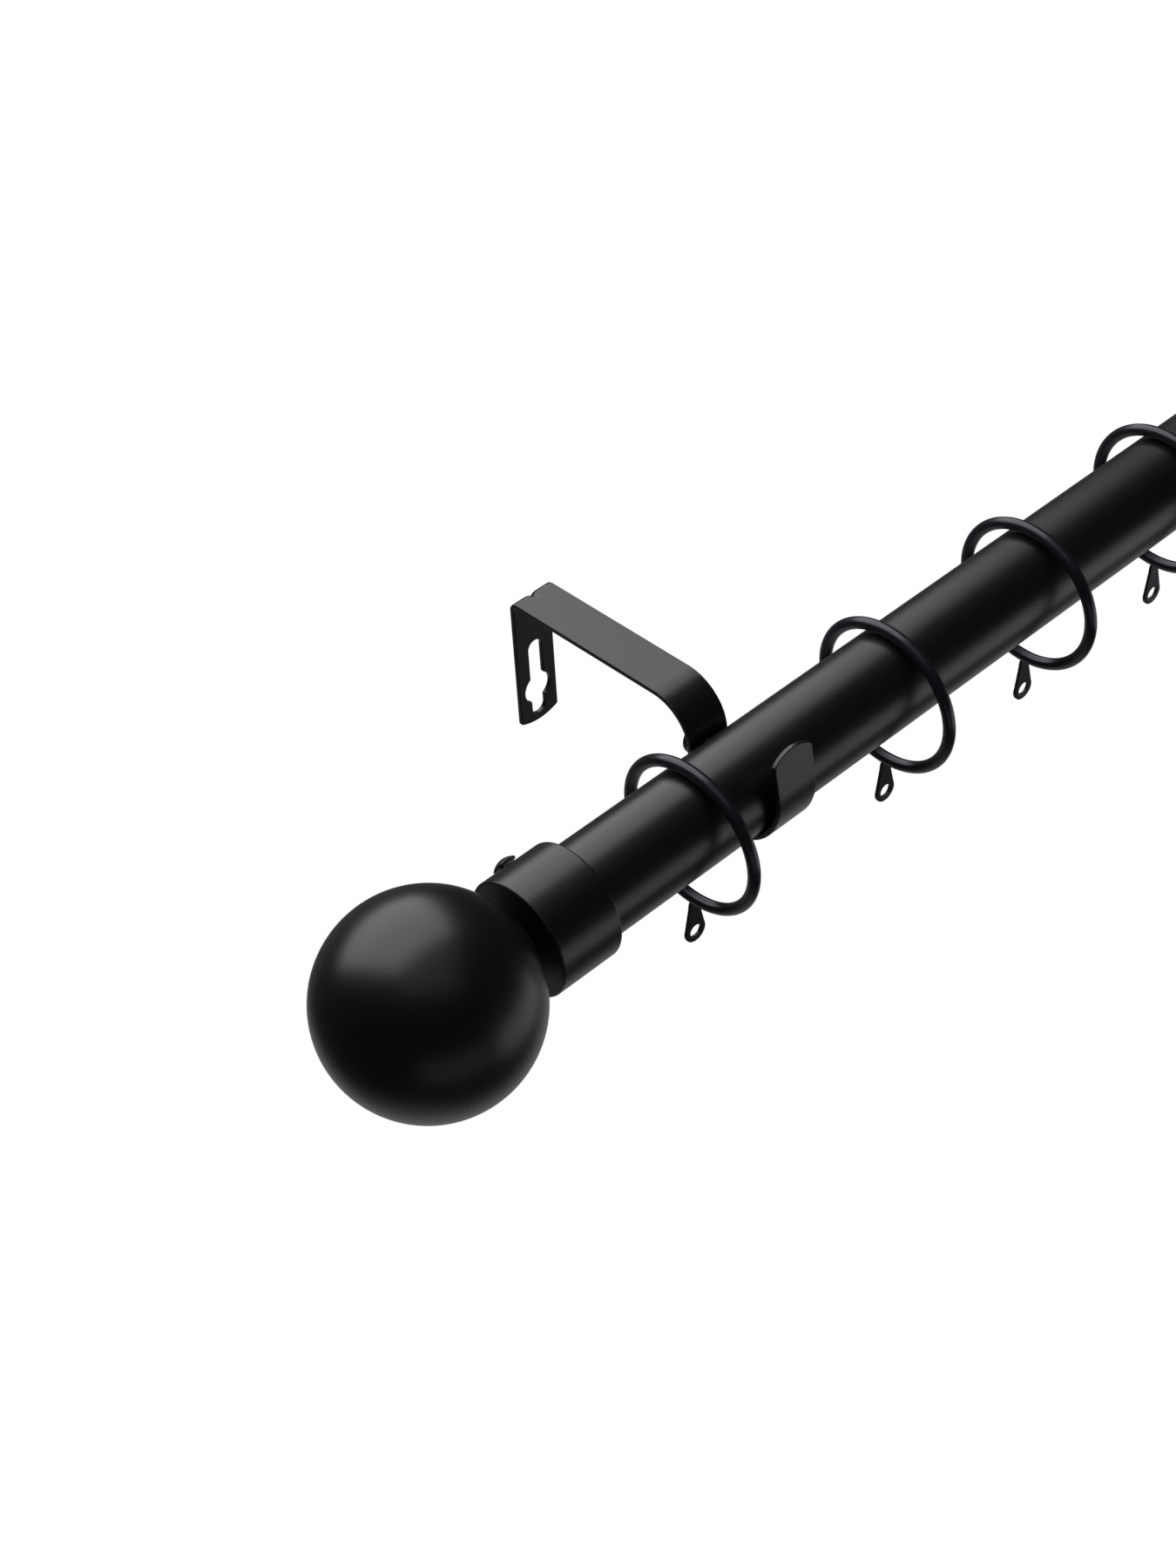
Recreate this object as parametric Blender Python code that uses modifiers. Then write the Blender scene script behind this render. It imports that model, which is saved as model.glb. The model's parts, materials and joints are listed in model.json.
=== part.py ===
"""Extendable curtain rod with two strap brackets, ball finials and rings.

Frame: metres, +X along the rod, +Y towards the wall, +Z up. The origin is on
the wall side of the left bracket's plate, on solid metal above its keyhole.
"""
import math

import bmesh
import bpy

for old in list(bpy.data.objects):
    bpy.data.objects.remove(old, do_unlink=True)

# Driving dimensions
gap = 0.0003                   # air between pieces that touch
rod_radius = 0.014             # 28 mm outer tube
inner_radius = 0.0125          # 25 mm inner tube that slides in it
tube_wall = 0.0008
wall_distance = 0.084          # rod axis to the wall
axis_drop = 0.009              # rod axis below the origin
bracket_spacing = 0.534        # left bracket to right bracket, rod closed
inner_tube_length = 0.640

strap_width = 0.014
strap_thickness = 0.0015
arm_height = 0.018             # top of the arm above the rod axis
arm_bend = 0.014               # radius of the bend behind the rod, outside
plate_bend = 0.003             # radius of the bend at the wall, outside
plate_drop = 0.028             # plate's lowest point below the rod axis
lip_height = 0.0195            # lip's highest point above the rod axis
lip_rise = 0.0028              # how far the lip's middle stands above its corners
lip_lean = 8                   # degrees the lip leans back to the rod
cup_clearance = 0.00035
cup_hug = 130                  # degrees of the cup that follow the rod, from its back
cup_front_radius = 0.020       # the wider front of the cup
slot_width = 0.005
keyhole_radius = 0.0048
keyhole_slot_top = -0.0018     # centre of the slot's round top, from the rod axis
keyhole_hole_height = -0.0164
keyhole_notch_bottom = -0.0232
plate_rise = 0.0016            # how far the plate's rounded end hangs below its corners

cap_radius = 0.0171
cap_length = 0.0205
cap_end_wall = 0.002
cap_mouth = 0.064              # cap's open end to the nearest bracket
ball_radius = 0.030
ball_wall = 0.0012
stud_radius = 0.0025
set_screw_radius = 0.0017
set_screw_place = 0.0095       # from the cap's mouth
set_screw_tilt = math.radians(28)
set_head_radius = 0.0035
set_head_dome = 0.0014

clamp_screw_radius = 0.002
clamp_screw_height = 0.0030    # above the rod axis
clamp_head_radius = 0.0052
clamp_head_height = 0.0036
clamp_stem_end = 0.0165        # from the rod axis towards the wall

ring_hole_radius = 0.02085
ring_wire_radius = 0.00185
ring_outside = 0.022           # rings between a bracket and its finial
ring_first = 0.055             # first ring between the brackets
rings_between = 8
eyelet_length = 0.0142
eyelet_radius = 0.0037
eyelet_hole_radius = 0.0020
eyelet_thickness = 0.0010

joint_cover_length = 0.0095
tube_mouth = 0.044             # outer tube's open end beyond the right bracket

parts = bpy.data.collections.new("curtain_rod")
cutters = bpy.data.collections.new("cutters")
for group in (parts, cutters):
    bpy.context.scene.collection.children.link(group)


def make_material(name, colour, roughness, metallic):
    """One Principled material."""
    material = bpy.data.materials.new(name)
    material.use_nodes = True
    shader = material.node_tree.nodes["Principled BSDF"]
    shader.inputs["Base Color"].default_value = (*colour, 1.0)
    shader.inputs["Roughness"].default_value = roughness
    shader.inputs["Metallic"].default_value = metallic
    return material


tube_black = make_material("tube_black", (0.012, 0.012, 0.012), 0.38, 0.6)
bracket_black = make_material("bracket_black", (0.030, 0.030, 0.031), 0.48, 0.5)
finial_black = make_material("finial_black", (0.010, 0.010, 0.010), 0.36, 0.6)
ring_black = make_material("ring_black", (0.014, 0.014, 0.018), 0.34, 0.6)
screw_black = make_material("screw_black", (0.020, 0.020, 0.020), 0.40, 0.8)
stud_zinc = make_material("stud_zinc", (0.62, 0.62, 0.60), 0.35, 1.0)
cover_plastic = make_material("cover_plastic", (0.016, 0.016, 0.016), 0.50, 0.0)


def add_empty(name, place, parent=None):
    """An axis marker that pieces are placed on."""
    empty = bpy.data.objects.new(name, None)
    empty.empty_display_size = 0.01
    empty.location = place
    empty.parent = parent
    parts.objects.link(empty)
    return empty


def add_object(name, mesh, parent, material, place=(0, 0, 0), turn=(0, 0, 0)):
    """Link a mesh as one named piece; cutters have no material."""
    piece = bpy.data.objects.new(name, mesh)
    piece.location = place
    piece.rotation_euler = turn
    piece.parent = parent
    if material:
        mesh.materials.append(material)
        parts.objects.link(piece)
    else:
        piece.hide_render = True
        piece.display_type = "WIRE"
        cutters.objects.link(piece)
    return piece


def smooth(piece, angle=40):
    piece.data.shade_smooth()
    piece.data.set_sharp_from_angle(angle=math.radians(angle))


def arc(centre, radius, start, end, steps):
    """Points on an arc, angles in degrees, both ends included."""
    points = []
    for step in range(steps + 1):
        angle = math.radians(start + (end - start) * step / steps)
        points.append((centre[0] + radius * math.cos(angle), centre[1] + radius * math.sin(angle)))
    return points


def add_turned(name, profile, closed, steps, parent, material, place=(0, 0, 0), turn=(0, 0, 0)):
    """A turned piece: profile is (radius, height), run down its outer side."""
    mesh = bpy.data.meshes.new(name)
    build = bmesh.new()
    points = [build.verts.new((radius, 0, height)) for radius, height in profile]
    for first, second in zip(points, points[1:]):
        build.edges.new((first, second))
    if closed:
        build.edges.new((points[-1], points[0]))
    build.to_mesh(mesh)
    build.free()
    piece = add_object(name, mesh, parent, material, place, turn)
    screw = piece.modifiers.new("turn", "SCREW")
    screw.axis = "Z"
    screw.steps = steps
    screw.render_steps = steps
    screw.use_merge_vertices = True
    screw.merge_threshold = 0.00001
    return piece


def add_flat(name, outlines, thickness, parent, material, place, turn):
    """A flat piece cut from sheet: the first outline is the edge, the others are holes."""
    curve = bpy.data.curves.new(name, "CURVE")
    curve.dimensions = "2D"
    curve.fill_mode = "BOTH"
    curve.extrude = thickness / 2
    for outline in outlines:
        spline = curve.splines.new("POLY")
        spline.points.add(len(outline) - 1)
        for point, (across, up) in zip(spline.points, outline):
            point.co = (across, up, 0, 1)
        spline.use_cyclic_u = True
    drawing = bpy.data.objects.new(name + "_outline", curve)
    parts.objects.link(drawing)
    bpy.context.view_layer.update()
    evaluated = drawing.evaluated_get(bpy.context.evaluated_depsgraph_get())
    mesh = bpy.data.meshes.new_from_object(evaluated)
    mesh.name = name
    build = bmesh.new()
    build.from_mesh(mesh)
    bmesh.ops.remove_doubles(build, verts=build.verts, dist=0.000001)
    build.to_mesh(mesh)
    build.free()
    mesh.materials.clear()
    bpy.data.objects.remove(drawing, do_unlink=True)
    return add_object(name, mesh, parent, material, place, turn)


def add_cylinder(name, radius, low, high, parent, material, place=(0, 0, 0), turn=(0, 0, 0), sides=24):
    """A cylinder along its own Z from low to high."""
    mesh = bpy.data.meshes.new(name)
    build = bmesh.new()
    bmesh.ops.create_cone(build, cap_ends=True, segments=sides, radius1=radius, radius2=radius,
                          depth=high - low)
    bmesh.ops.translate(build, verts=build.verts, vec=(0, 0, (low + high) / 2))
    build.to_mesh(mesh)
    build.free()
    return add_object(name, mesh, parent, material, place, turn)


def cut(piece, cutter):
    boolean = piece.modifiers.new("cut_" + cutter.name, "BOOLEAN")
    boolean.operation = "DIFFERENCE"
    boolean.solver = "EXACT"
    boolean.object = cutter


rod_axis = add_empty("rod_axis", (0, -wall_distance, -axis_drop))
outwards_left = (0, -math.pi / 2, 0)      # local Z to -X
outwards_right = (0, math.pi / 2, 0)      # local Z to +X
side_view = (math.pi / 2, 0, math.pi / 2)  # outline across to +Y, up to +Z, thickness along X
front_view = (math.pi / 2, 0, 0)          # outline across to +X, up to +Z, thickness along Y


def add_tube(name, radius, start, end):
    """A thin tube along the rod axis."""
    bore = radius - tube_wall
    profile = [(radius, end), (radius, start), (bore, start), (bore, end)]
    tube = add_turned(name, profile, True, 36, rod_axis, tube_black, turn=outwards_right)
    smooth(tube)
    return tube


def add_joint_cover():
    """Plastic ring that covers the outer tube's open end."""
    mouth = bracket_spacing + tube_mouth
    outside = rod_radius + gap + 0.0009
    lip = mouth + gap
    top = lip + 0.0012
    profile = [
        (inner_radius + gap, top),
        (outside - 0.0005, top),
        (outside, top - 0.0005),
        (outside, top - joint_cover_length),
        (rod_radius + gap, top - joint_cover_length),
        (rod_radius + gap, lip),
        (inner_radius + gap, lip),
    ]
    cover = add_turned("joint_cover", profile, True, 36, rod_axis, cover_plastic, turn=outwards_right)
    smooth(cover)


def strap_outline():
    """The bent strap seen from the side, (towards the wall, up), round the rod axis."""
    inside = rod_radius + cup_clearance
    outside = inside + strap_thickness
    back = wall_distance
    front = wall_distance - strap_thickness
    bend_centre = (inside + arm_bend, arm_height - arm_bend)
    corner = (back - plate_bend, arm_height - plate_bend)
    hug = math.radians(-cup_hug)
    offset = inside - cup_front_radius
    front_centre = (offset * math.cos(hug), offset * math.sin(hug))
    front_outside = cup_front_radius + strap_thickness
    lean = math.tan(math.radians(lip_lean))
    inner_front = arc(front_centre, cup_front_radius, -cup_hug, -180 - lip_lean, 9)
    outer_front = arc(front_centre, front_outside, -180 - lip_lean, -cup_hug, 9)
    inner_lip = (inner_front[-1][0] + (lip_height - inner_front[-1][1]) * lean, lip_height)
    outer_lip = (outer_front[0][0] + (lip_height - outer_front[0][1]) * lean, lip_height)
    return (
        [(back, -plate_drop)]
        + arc(corner, plate_bend, 0, 90, 5)
        + arc(bend_centre, arm_bend, 90, 180, 8)
        + arc((0, 0), inside, 0, -cup_hug, 14)[:-1]
        + inner_front
        + [inner_lip, outer_lip]
        + outer_front
        + arc((0, 0), outside, -cup_hug, 0, 14)[1:]
        + arc(bend_centre, arm_bend - strap_thickness, 180, 90, 8)
        + arc(corner, plate_bend - strap_thickness, 90, 0, 3)
        + [(front, -plate_drop)]
    )


def keyhole_outline():
    """Narrow slot, round hole below it and a small notch under the hole, (along X, up)."""
    half = slot_width / 2
    hole_height = keyhole_hole_height
    reach = math.degrees(math.acos(half / keyhole_radius))
    return (
        arc((0, keyhole_slot_top), half, 0, 180, 8)
        + arc((0, hole_height), keyhole_radius, 180 - reach, 180 + reach, 8)
        + arc((0, keyhole_notch_bottom), half, 180, 360, 8)
        + arc((0, hole_height), keyhole_radius, -reach, reach, 8)
    )


def round_end_outline(rise):
    """Waste above a strap end, leaving an arched end that is rise higher in its middle."""
    half = strap_width / 2
    radius = (half * half + rise * rise) / (2 * rise)
    reach = math.degrees(math.asin(half / radius))
    arch = arc((0, -radius), radius, 90 + reach, 90 - reach, 10)
    margin = 0.002
    low = arch[0][1]
    return (
        [(half + margin, low), (half + margin, margin), (-half - margin, margin), (-half - margin, low)]
        + arch
    )


def add_bracket(side, along):
    """Strap bracket with its clamp screw, at the distance along the rod."""
    place = (along, 0, 0)
    strap = add_flat("bracket_strap_" + side, [strap_outline()], strap_width, rod_axis, bracket_black,
                     place, side_view)
    plate_middle = wall_distance - strap_thickness / 2
    keyhole = add_flat("keyhole_cutter_" + side, [keyhole_outline()], 3 * strap_thickness, rod_axis, None,
                       (along, plate_middle, 0), front_view)
    cut(strap, keyhole)
    lip_middle = -rod_radius - strap_thickness
    lip_end = add_flat("lip_end_cutter_" + side, [round_end_outline(lip_rise)], 4 * strap_thickness,
                       rod_axis, None, (along, lip_middle, lip_height), front_view)
    cut(strap, lip_end)
    upside_down = (math.pi / 2, math.pi, 0)
    plate_end = add_flat("plate_end_cutter_" + side, [round_end_outline(plate_rise)], 3 * strap_thickness,
                         rod_axis, None, (along, plate_middle, -plate_drop), upside_down)
    cut(strap, plate_end)

    screw_place = (along, 0, clamp_screw_height)
    backwards = (-math.pi / 2, 0, 0)
    hole = add_cylinder("clamp_hole_cutter_" + side, clamp_screw_radius + gap, rod_radius, 0.020, rod_axis,
                        None, screw_place, backwards)
    cut(strap, hole)
    smooth(strap, 30)
    stem = add_cylinder("clamp_screw_stem_" + side, clamp_screw_radius, rod_radius + gap, clamp_stem_end,
                        rod_axis, screw_black, screw_place, backwards)
    smooth(stem)
    low = clamp_stem_end + gap
    high = low + clamp_head_height
    edge = 0.0006
    profile = [
        (0, high),
        (clamp_head_radius - edge, high),
        (clamp_head_radius, high - edge),
        (clamp_head_radius, low + edge / 2),
        (clamp_head_radius - edge / 2, low),
        (0, low),
    ]
    head = add_turned("clamp_screw_head_" + side, profile, False, 24, rod_axis, screw_black, screw_place,
                      backwards)
    smooth(head)


def add_finial(side, mouth, turn, tube_radius):
    """Ball on a cap that slips over the tube, its stud and its set screw."""
    place = (mouth, 0, 0)
    outer_way = 1 if side == "right" else -1
    edge = 0.0006
    bore = tube_radius + gap
    floor = cap_length - cap_end_wall
    hole = stud_radius + gap
    profile = [
        (hole, cap_length),
        (cap_radius - edge, cap_length),
        (cap_radius, cap_length - edge),
        (cap_radius, edge),
        (cap_radius - edge, 0),
        (bore + edge, 0),
        (bore, edge),
        (bore, floor),
        (hole, floor),
    ]
    cap = add_turned("finial_cap_" + side, profile, True, 36, rod_axis, finial_black, place, turn)

    screw_place = (mouth + outer_way * set_screw_place, 0, 0)
    screw_turn = (set_screw_tilt - math.pi / 2, 0, 0)
    screw_hole = add_cylinder("set_screw_cutter_" + side, set_screw_radius + gap, tube_radius, 0.020,
                              rod_axis, None, screw_place, screw_turn)
    cut(cap, screw_hole)
    smooth(cap)
    stem_end = cap_radius + 0.0002
    stem = add_cylinder("set_screw_stem_" + side, set_screw_radius, tube_radius + gap, stem_end, rod_axis,
                        screw_black, screw_place, screw_turn, 16)
    smooth(stem)
    head_radius = set_head_radius
    low = stem_end + gap
    rim = low + 0.0004
    dome = set_head_dome
    dome_radius = (head_radius * head_radius + dome * dome) / (2 * dome)
    reach = math.degrees(math.asin(head_radius / dome_radius))
    crown = arc((0, rim + dome - dome_radius), dome_radius, 90, 90 - reach, 5)
    head_profile = crown + [(head_radius, low), (0, low)]
    head_profile[0] = (0, rim + dome)
    head = add_turned("set_screw_head_" + side, head_profile, False, 16, rod_axis, screw_black, screw_place,
                      screw_turn)
    smooth(head, 50)

    centre = cap_length + gap + ball_radius
    inner = ball_radius - ball_wall
    boss_radius = 0.0055
    boss_depth = 0.009
    hole_angle = math.degrees(math.asin(hole / ball_radius))
    boss_angle = math.degrees(math.asin(boss_radius / inner))
    outer_arc = arc((0, centre), ball_radius, 90, -90 + hole_angle, 14)
    inner_arc = arc((0, centre), inner, -90 + boss_angle, 90, 7)
    outer_arc[0] = (0, centre + ball_radius)
    inner_arc[-1] = (0, centre + inner)
    boss_top = centre - ball_radius + boss_depth
    ball_profile = outer_arc + [(hole, boss_top), (boss_radius, boss_top)] + inner_arc
    ball = add_turned("finial_ball_" + side, ball_profile, False, 24, rod_axis, finial_black, place, turn)
    smooth(ball, 50)

    head_top = floor - gap
    stud_profile = [
        (0, boss_top - gap),
        (stud_radius, boss_top - gap),
        (stud_radius, head_top),
        (0.0046, head_top),
        (0.0046, head_top - 0.0022),
        (0.0038, head_top - 0.0028),
        (0, head_top - 0.0028),
    ]
    stud = add_turned("finial_stud_" + side, stud_profile, False, 16, rod_axis, stud_zinc, place, turn)
    smooth(stud)


def eyelet_outline():
    """Flat tab seen face on, (across, up) from the centre of the ring's wire."""
    saddle = ring_wire_radius + gap
    neck = 0.0024
    ear = 0.0002
    low = -ring_wire_radius - eyelet_length + eyelet_radius
    notch_start = math.degrees(math.asin(ear / saddle))
    notch = arc((0, 0), saddle, -notch_start, -180 + notch_start, 8)
    waist = -ring_wire_radius - 0.0022
    return (
        [(neck, -ear)]
        + [(notch[0][0], notch[0][1])]
        + notch[1:]
        + [(-neck, -ear), (-neck, waist)]
        + arc((0, low), eyelet_radius, 160, 380, 10)
        + [(neck, waist)]
    )


def eyelet_hole():
    low = -ring_wire_radius - eyelet_length + eyelet_radius
    return arc((0, low), eyelet_hole_radius, 0, 330, 11)


def ring_places():
    """Distance of each ring along the rod, from the left bracket."""
    last = bracket_spacing - ring_first
    pitch = (last - ring_first) / (rings_between - 1)
    between = [ring_first + pitch * number for number in range(rings_between)]
    return [-ring_outside] + between + [bracket_spacing + ring_outside]


def add_ring(number, along, ring_mesh, eyelet_mesh):
    """A ring hanging on the rod with the eyelet under it."""
    drop = rod_radius + gap - ring_hole_radius
    middle = ring_hole_radius + ring_wire_radius
    for name, mesh, height, turn in (
        ("ring_%02d" % number, ring_mesh, drop, (0, math.pi / 2, 0)),
        ("ring_eyelet_%02d" % number, eyelet_mesh, drop - middle, front_view),
    ):
        piece = bpy.data.objects.new(name, mesh)
        piece.location = (along, 0, height)
        piece.rotation_euler = turn
        piece.parent = rod_axis
        parts.objects.link(piece)


def ring_meshes():
    """The wire ring and the eyelet that every ring shares."""
    bpy.ops.mesh.primitive_torus_add(major_segments=32, minor_segments=8,
                                     major_radius=ring_hole_radius + ring_wire_radius,
                                     minor_radius=ring_wire_radius)
    torus = bpy.context.object
    ring_mesh = torus.data
    ring_mesh.name = "ring"
    ring_mesh.shade_smooth()
    ring_mesh.materials.append(ring_black)
    bpy.data.objects.remove(torus, do_unlink=True)
    outlines = [eyelet_outline(), eyelet_hole()]
    pattern = add_flat("eyelet_pattern", outlines, eyelet_thickness, None, ring_black, (0, 0, 0), (0, 0, 0))
    eyelet_mesh = pattern.data
    bpy.data.objects.remove(pattern, do_unlink=True)
    return ring_mesh, eyelet_mesh


tube_stop = cap_length - cap_end_wall - 0.0005
add_tube("outer_tube", rod_radius, -cap_mouth - tube_stop, bracket_spacing + tube_mouth)
inner_end = bracket_spacing + cap_mouth + tube_stop
add_tube("inner_tube", inner_radius, inner_end - inner_tube_length, inner_end)
add_joint_cover()
add_bracket("left", 0)
add_bracket("right", bracket_spacing)
add_finial("left", -cap_mouth, outwards_left, rod_radius)
add_finial("right", bracket_spacing + cap_mouth, outwards_right, inner_radius)
shared_ring, shared_eyelet = ring_meshes()
for index, distance in enumerate(ring_places()):
    add_ring(index + 1, distance, shared_ring, shared_eyelet)
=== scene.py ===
import json
import math

import bmesh
import bpy
from mathutils import Matrix, Vector


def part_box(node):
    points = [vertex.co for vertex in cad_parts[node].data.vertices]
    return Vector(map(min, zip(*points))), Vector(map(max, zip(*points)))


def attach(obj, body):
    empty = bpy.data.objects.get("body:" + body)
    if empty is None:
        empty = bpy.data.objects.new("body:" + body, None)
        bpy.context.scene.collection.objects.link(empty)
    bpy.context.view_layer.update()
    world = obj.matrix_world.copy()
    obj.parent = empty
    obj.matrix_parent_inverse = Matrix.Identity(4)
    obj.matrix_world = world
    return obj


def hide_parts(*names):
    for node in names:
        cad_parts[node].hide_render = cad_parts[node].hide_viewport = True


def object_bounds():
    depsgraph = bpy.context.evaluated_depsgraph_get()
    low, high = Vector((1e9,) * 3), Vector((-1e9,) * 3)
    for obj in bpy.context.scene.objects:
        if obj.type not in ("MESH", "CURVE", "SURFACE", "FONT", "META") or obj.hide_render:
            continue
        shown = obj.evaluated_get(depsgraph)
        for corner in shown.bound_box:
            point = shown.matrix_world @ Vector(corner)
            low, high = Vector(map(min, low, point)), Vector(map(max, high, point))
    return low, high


print("loading the frame")
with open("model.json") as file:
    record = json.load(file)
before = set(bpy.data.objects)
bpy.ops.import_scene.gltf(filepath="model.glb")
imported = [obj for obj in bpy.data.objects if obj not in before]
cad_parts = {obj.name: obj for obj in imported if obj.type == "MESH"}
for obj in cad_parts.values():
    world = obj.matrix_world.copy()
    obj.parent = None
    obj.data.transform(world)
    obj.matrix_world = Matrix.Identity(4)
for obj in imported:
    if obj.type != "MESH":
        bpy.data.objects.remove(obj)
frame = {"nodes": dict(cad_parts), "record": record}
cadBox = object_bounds()
bodyOfNode = {}
for body, members in frame["record"]["behaviour"]["bodies"].items():
    for member in members:
        bodyOfNode[member] = body
bpy.context.scene.unit_settings.system = "METRIC"

tubeLow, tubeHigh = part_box("outer_tube")
rodRadius = (tubeHigh.z - tubeLow.z) / 2
rodAxis = Vector((0, (tubeLow.y + tubeHigh.y) / 2, (tubeLow.z + tubeHigh.z) / 2))
sides = {"left": -1, "right": 1}


class Wire:
    # one socket of a node tree; sums of wires become math nodes
    def __init__(self, graph, socket):
        self.graph = graph
        self.socket = socket

    def __getitem__(self, name):
        return Wire(self.graph, self.socket.node.outputs[name])

    def sum(self, operation, first, second):
        return self.graph.calc(operation, first, second)

    def __add__(self, other):
        return self.sum("ADD", self, other)

    def __radd__(self, other):
        return self.sum("ADD", other, self)

    def __sub__(self, other):
        return self.sum("SUBTRACT", self, other)

    def __rsub__(self, other):
        return self.sum("SUBTRACT", other, self)

    def __mul__(self, other):
        return self.sum("MULTIPLY", self, other)

    def __truediv__(self, other):
        return self.sum("DIVIDE", self, other)

    def __gt__(self, other):
        return self.sum("GREATER_THAN", self, other)

    def __abs__(self):
        return self.graph.calc("ABSOLUTE", self)


class Graph:
    def __init__(self, tree):
        self.tree = tree

    def node(self, kind, settings=None, sockets=None):
        made = self.tree.nodes.new(kind)
        made.location = (220 * (len(self.tree.nodes) % 12), -260 * (len(self.tree.nodes) // 12))
        for name, value in (settings or {}).items():
            setattr(made, name, value)
        for name, value in (sockets or {}).items():
            for single in value if isinstance(value, list) else [value]:
                if isinstance(single, Wire):
                    self.tree.links.new(single.socket, made.inputs[name])
                else:
                    made.inputs[name].default_value = single
        shown = [socket for socket in made.outputs if socket.enabled]
        return Wire(self, shown[0]) if shown else made

    def calc(self, operation, *values):
        return self.node("ShaderNodeMath", {"operation": operation}, dict(enumerate(values)))

    def step(self, value, low, high):
        # smooth 0 to 1 between two values
        return self.node("ShaderNodeMapRange", {"interpolation_type": "SMOOTHSTEP"},
                         {"Value": value, "From Min": low, "From Max": high})

    def rub(self):
        # how exposed an edge is, from markEdges
        return self.node("ShaderNodeAttribute", {"attribute_name": "rub"})["Fac"]

    def tint(self, share, first, second):
        # colour mix
        mix = self.node("ShaderNodeMix", {"data_type": "RGBA"}, {"Factor": share})
        blend = mix.socket.node
        for place, colour in ((6, first), (7, second)):
            if isinstance(colour, Wire):
                self.tree.links.new(colour.socket, blend.inputs[place])
            else:
                blend.inputs[place].default_value = (*colour, 1)
        return Wire(self, blend.outputs[2])


finishes = {
    "tubePaint": {
        "dark": (0.0035, 0.0035, 0.0036), "light": (0.0056, 0.0056, 0.0057),
        "roughness": 0.335, "spread": 0.05,
        "peelSize": 0.0016, "peelDepth": 0.0000045, "grainDepth": 0.0000007, "drawn": 0.06, "seam": 0.00007,
        "dust": 0.10, "rub": 0.22, "gleam": (1, 1, 1, 1),
    },
    "slidingTubePaint": {
        "dark": (0.0046, 0.0046, 0.0047), "light": (0.0076, 0.0076, 0.0077),
        "roughness": 0.37, "spread": 0.08,
        "peelSize": 0.0015, "peelDepth": 0.0000045, "grainDepth": 0.0000008, "drawn": 0.16, "seam": 0.00006,
        "dust": 0.08, "rub": 0.32, "gleam": (1, 1, 1, 1),
    },
    "finialPaint": {
        "dark": (0.0030, 0.0030, 0.0031), "light": (0.0048, 0.0048, 0.0049),
        "roughness": 0.33, "spread": 0.04,
        "peelSize": 0.0013, "peelDepth": 0.000004, "grainDepth": 0.0000007, "drawn": 0.0, "seam": 0.0,
        "dust": 0.22, "rub": 0.14, "gleam": (1, 1, 1, 1),
    },
    "bracketPaint": {
        "dark": (0.0052, 0.0052, 0.0054), "light": (0.0086, 0.0086, 0.0088),
        "roughness": 0.31, "spread": 0.05,
        "peelSize": 0.0010, "peelDepth": 0.0000045, "grainDepth": 0.000001, "drawn": 0.0, "seam": 0.0,
        "dust": 0.12, "rub": 0.30, "gleam": (1, 1, 1, 1),
    },
    "ringPaint": {
        "dark": (0.0098, 0.0094, 0.0130), "light": (0.0160, 0.0153, 0.0212),
        "roughness": 0.26, "spread": 0.07,
        "peelSize": 0.0008, "peelDepth": 0.000004, "grainDepth": 0.0000008, "drawn": 0.0, "seam": 0.0,
        "dust": 0.10, "rub": 0.10, "gleam": (0.84, 0.84, 1, 1),
    },
}


# what every lacquer shares
lacquer = {
    "cloudSize": 0.045, "streakSize": 0.0011, "streakStretch": (0.012, 1, 1),
    "seamAngle": -35, "seamRipple": 0.004, "seamInside": 0.0002, "seamOutside": 0.0011,
    "nibSpacing": 0.0062, "nibInside": 0.016, "nibOutside": 0.030, "nibHeight": 0.00003,
    "nibColour": (0.06, 0.06, 0.058), "patchSize": 0.0028, "thinColour": (0.09, 0.088, 0.085),
}


def finish(name):
    # an empty material and what its tree is built with
    material = bpy.data.materials.new(name)
    material.use_nodes = True
    graph = Graph(material.node_tree)
    shader = material.node_tree.nodes["Principled BSDF"]
    place = graph.node("ShaderNodeTexCoord")["Object"]
    return material, graph, shader, place


def feed(graph, shader, links, fixed):
    # wires and fixed values of the surface shader
    for name, wire in links.items():
        graph.tree.links.new(wire.socket, shader.inputs[name])
    for name, value in fixed.items():
        shader.inputs[name].default_value = value


def noise(graph, place, size, detail=2.0, stretch=None):
    # size is the length of one cloud, in metres
    if stretch:
        place = graph.node("ShaderNodeMapping", {}, {"Vector": place, "Scale": stretch})
    sockets = {"Vector": place, "Scale": 1 / size, "Detail": detail}
    return graph.node("ShaderNodeTexNoise", {}, sockets)


def cellular(graph, place, size, feature="F1"):
    sockets = {"Vector": place, "Scale": 1 / size}
    return graph.node("ShaderNodeTexVoronoi", {"feature": feature}, sockets)


def relief(graph, height):
    # height is in metres
    sockets = {"Strength": 1.0, "Distance": 1.0, "Height": height}
    return graph.node("ShaderNodeBump", {}, sockets)


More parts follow.
